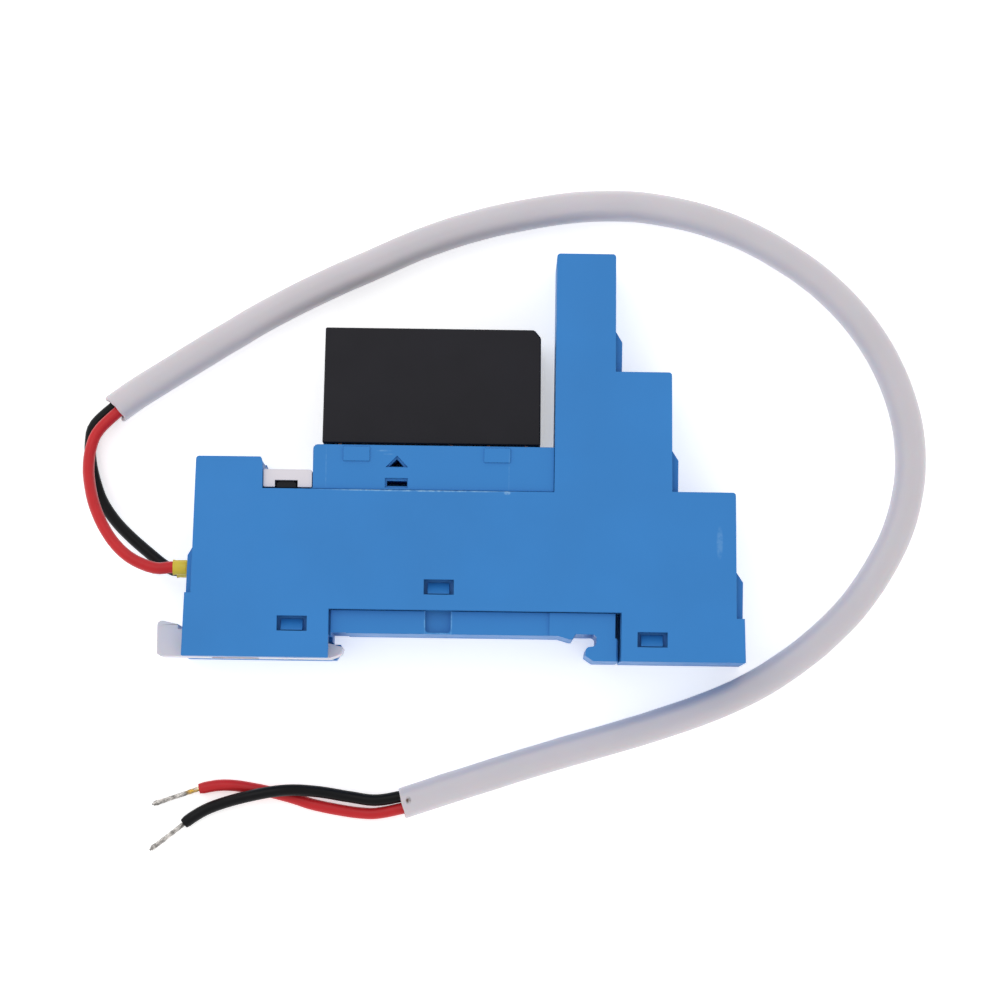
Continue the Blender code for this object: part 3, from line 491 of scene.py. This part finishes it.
def sheath_mesh():
    """A hollow tube: outside, far rim, bore, near rim."""
    spots = frames_along(sheath_line)
    outside = [sheath_ring(spot, SHEATH_RADIUS) for spot in spots[1:-1]]
    bore = [sheath_ring(spot, SHEATH_BORE) for spot in reversed(spots[1:-1])]
    far = sheath_end(spots[-1], 1, FAR_CUT)
    near = sheath_end(spots[0], -1, NEAR_CUT)
    return closed_mesh("cable_sheath_tube", outside + far + bore + near[::-1])


# ---------------------------------------------------------------- wires

# six strands are wound round a seventh, and fan out near the tip
STRAND_RADIUS, STRAND_LAY = 0.13 * MM, 0.2 * MM
OUTER_STRANDS, STRAND_TURNS = 6, 1.3
FAN_FROM, FAN_SPREAD = 0.75, 0.5
WIRE_RESOLUTION, STRAND_RESOLUTION = 5, 2


def wire_in_sheath(side):
    """The line of one wire inside the sheath, twisted round the other."""
    spots = frames_along(smooth(SHEATH_ROUTE, TWIST_SPACING))
    turn = RED_END_ANGLE - RED_START_ANGLE + WHOLE_TURNS * 2 * math.pi
    line = []
    for i, (point, _, right, up) in enumerate(spots):
        angle = RED_START_ANGLE + turn * i / (len(spots) - 1) + (0 if side > 0 else math.pi)
        line.append(point + (right * math.cos(angle) + up * math.sin(angle)) * WIRE_OFFSET)
    return line[1:-1]


def wire_line(lead, side, tail):
    """A whole wire, from inside its sleeve through the sheath to its free end."""
    x, y, z = lead[0]
    inside = [(x + IN_COLLAR, y, z)]
    return smooth(inside + lead[:-1] + wire_in_sheath(side) + tail[1:], WIRE_SPACING)


def strands(route):
    """The tinned strands in a loose twist, of uneven lengths and fanning a little."""
    first, second = Vector(route[0]), Vector(route[1])
    inside = first - (second - first).normalized() * IN_INSULATION
    spots = frames_along(smooth([inside] + route, STRAND_SPACING))
    lines = [[spot[0] for spot in spots]]
    for k in range(OUTER_STRANDS):
        line = []
        uneven = k % 3
        for i, (point, _, right, up) in enumerate(spots):
            share = i / (len(spots) - 1)
            angle = 2 * math.pi * (k / OUTER_STRANDS + STRAND_TURNS * share)
            fan = FAN_SPREAD * max(0, share - FAN_FROM) * (1 + uneven)
            spread = STRAND_LAY * (1 + fan)
            line.append(point + (right * math.cos(angle) + up * math.sin(angle)) * spread)
        lines.append(line[:len(line) - uneven])
    return round_curve("strands", lines, STRAND_RADIUS, STRAND_RESOLUTION)


# ---------------------------------------------------------------- wire end sleeves

# profiles as (radius, distance from the collar's mouth), in millimetres
COLLAR_PROFILE = [
    (1.06, 0.05), (1.08, 0.0), (1.0, 0.0), (0.86, 0.35), (0.83, 1.7), (0.6, 2.0),
    (0.6, 2.35), (0.74, 2.35), (0.98, 2.0), (1.02, 1.6), (0.99, 0.4),
]
BARREL_START, BARREL_END = [(0.45, 2.1), (0.62, 2.1)], [(0.6, 8.2), (0.45, 8.2)]
# the crimped part between them, with a groove at every second step
CRIMP_STEPS, CRIMP_FROM, CRIMP_LENGTH = 24, 2.5, 5.4
CRIMP_RADIUS, GROOVE_DEPTH, CRIMP_SQUARENESS = 0.66, 0.05, 0.12
SLEEVE_SIDES = 28


def turned_ring(centre, radius, squareness=0.0):
    """A ring round the X axis, pressed towards a rounded square where it is crimped."""
    ring = []
    for i in range(SLEEVE_SIDES):
        angle = 2 * math.pi * i / SLEEVE_SIDES
        pressed = radius * (1 - squareness * math.cos(2 * angle) ** 2)
        ring.append(Vector((0, math.cos(angle), math.sin(angle))) * pressed + centre)
    return ring


def barrel_profile():
    """The barrel's outline, with the grooves of the crimping tool."""
    crimped = []
    for step in range(CRIMP_STEPS):
        share = step / (CRIMP_STEPS - 1)
        crimped.append((CRIMP_RADIUS - GROOVE_DEPTH * (step % 2),
                        CRIMP_FROM + CRIMP_LENGTH * share))
    return BARREL_START + crimped + BARREL_END


def sleeve_pieces(colour, node_name):
    """A flared plastic collar, and the crimped barrel behind it inside the clamp."""
    low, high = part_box(node_name)
    centre = (low + high) / 2
    start = Vector((low.x, centre.y, centre.z))

    def turned(name, profile, squareness=0.0):
        return closed_mesh(name, [
            turned_ring(start + Vector((distance * MM, 0, 0)), radius * MM, squareness)
            for radius, distance in profile])

    collar = add_object("sleeve_collar_" + colour, turned("collar", COLLAR_PROFILE), YELLOW,
                        "yellow_collar", node_name)
    barrel = add_object("sleeve_barrel_" + colour,
                        turned("barrel", barrel_profile(), CRIMP_SQUARENESS), TIN,
                        "tinned_copper")
    return [collar, barrel]


# ---------------------------------------------------------------- the lead

def add_lead():
    """The sheath, and each wire with its bare strands and its sleeve."""
    tube = add_object("cable_sheath_tube", sheath_mesh(), SHEATH, "white_sheath",
                      "cable_sheath")
    wires = [
        ("red", RED_LEAD_ROUTE, 1, RED_TAIL_ROUTE, RED_TIP_ROUTE, RED, STRAND_BY_RED),
        ("black", BLACK_LEAD_ROUTE, -1, BLACK_TAIL_ROUTE, BLACK_TIP_ROUTE, BLACK, STRAND),
    ]
    for colour, lead, side, tail, tip, look, metal in wires:
        line = wire_line(lead, side, tail)
        shape = round_curve(colour + "_wire", [line], WIRE_RADIUS, WIRE_RESOLUTION)
        wire = add_object(colour + "_wire", shape, look, colour + "_insulation",
                          colour + "_lead", colour + "_tail")
        end = add_object(colour + "_strands", strands(tip), metal, "tinned_copper",
                         colour + "_tip")
        sleeve = sleeve_pieces(colour, "ferrule_" + colour)


add_lead()


# ---------------------------------------------------------------- floor and light

# brightness of the surroundings, level with the floor and straight up
HORIZON, ZENITH = 1.05, 0.78
SOFTBOX_WATTS, SOFTBOX_SIZE, SOFTBOX_PLACE = 1.5, 0.7, Vector((-0.3, 0.35, 0.8))
# the floor's half width, how far it lies below the object, and its own glow
FLOOR_HALF, FLOOR_BELOW, FLOOR_GLOW = 1.5, 0.05 * MM, 0.46


def add_floor():
    """A large pale square, which glows a little so that shadows stay faint."""
    mesh = bpy.data.meshes.new("floor")
    corners = [(x * FLOOR_HALF, y * FLOOR_HALF, 0)
               for x, y in ((-1, -1), (1, -1), (1, 1), (-1, 1))]
    mesh.from_pydata(corners, [], [(0, 1, 2, 3)])
    floor = bpy.data.objects.new("floor", mesh)
    floor.location.z = -FLOOR_BELOW
    bpy.context.scene.collection.objects.link(floor)
    pale = surface("pale_floor", (0.93, 0.93, 0.93), 0.7, mottle=0.004, patch=0.05,
                   grain=1 * MM, specular=0.2)
    shader = pale.node_tree.nodes["Principled BSDF"]
    shader.inputs["Emission Color"].default_value = (1, 1, 1, 1)
    shader.inputs["Emission Strength"].default_value = FLOOR_GLOW
    floor.data.materials.append(pale)


def add_light():
    """Even light from all round, a little darker above, and one weak softbox."""
    world = bpy.data.worlds.new("studio")
    world.use_nodes = True
    tree = world.node_tree
    direction = node(tree, "TexCoord").outputs["Generated"]
    height = node(tree, "SeparateXYZ", {"Vector": direction}).outputs["Z"]
    background = tree.nodes["Background"]
    background.inputs["Color"].default_value = (1, 1, 1, 1)
    tree.links.new(between(tree, height, HORIZON, ZENITH, 0, 1), background.inputs["Strength"])
    bpy.context.scene.world = world
    data = bpy.data.lights.new("softbox", "AREA")
    data.shape, data.size, data.energy = "SQUARE", SOFTBOX_SIZE, SOFTBOX_WATTS
    softbox = bpy.data.objects.new("softbox", data)
    bpy.context.scene.collection.objects.link(softbox)
    facing = SOFTBOX_PLACE.to_track_quat("Z", "Y").to_matrix().to_4x4()
    softbox.matrix_world = Matrix.Translation(SOFTBOX_PLACE) @ facing
    bpy.context.scene.view_settings.view_transform = "Standard"


add_floor()
add_light()
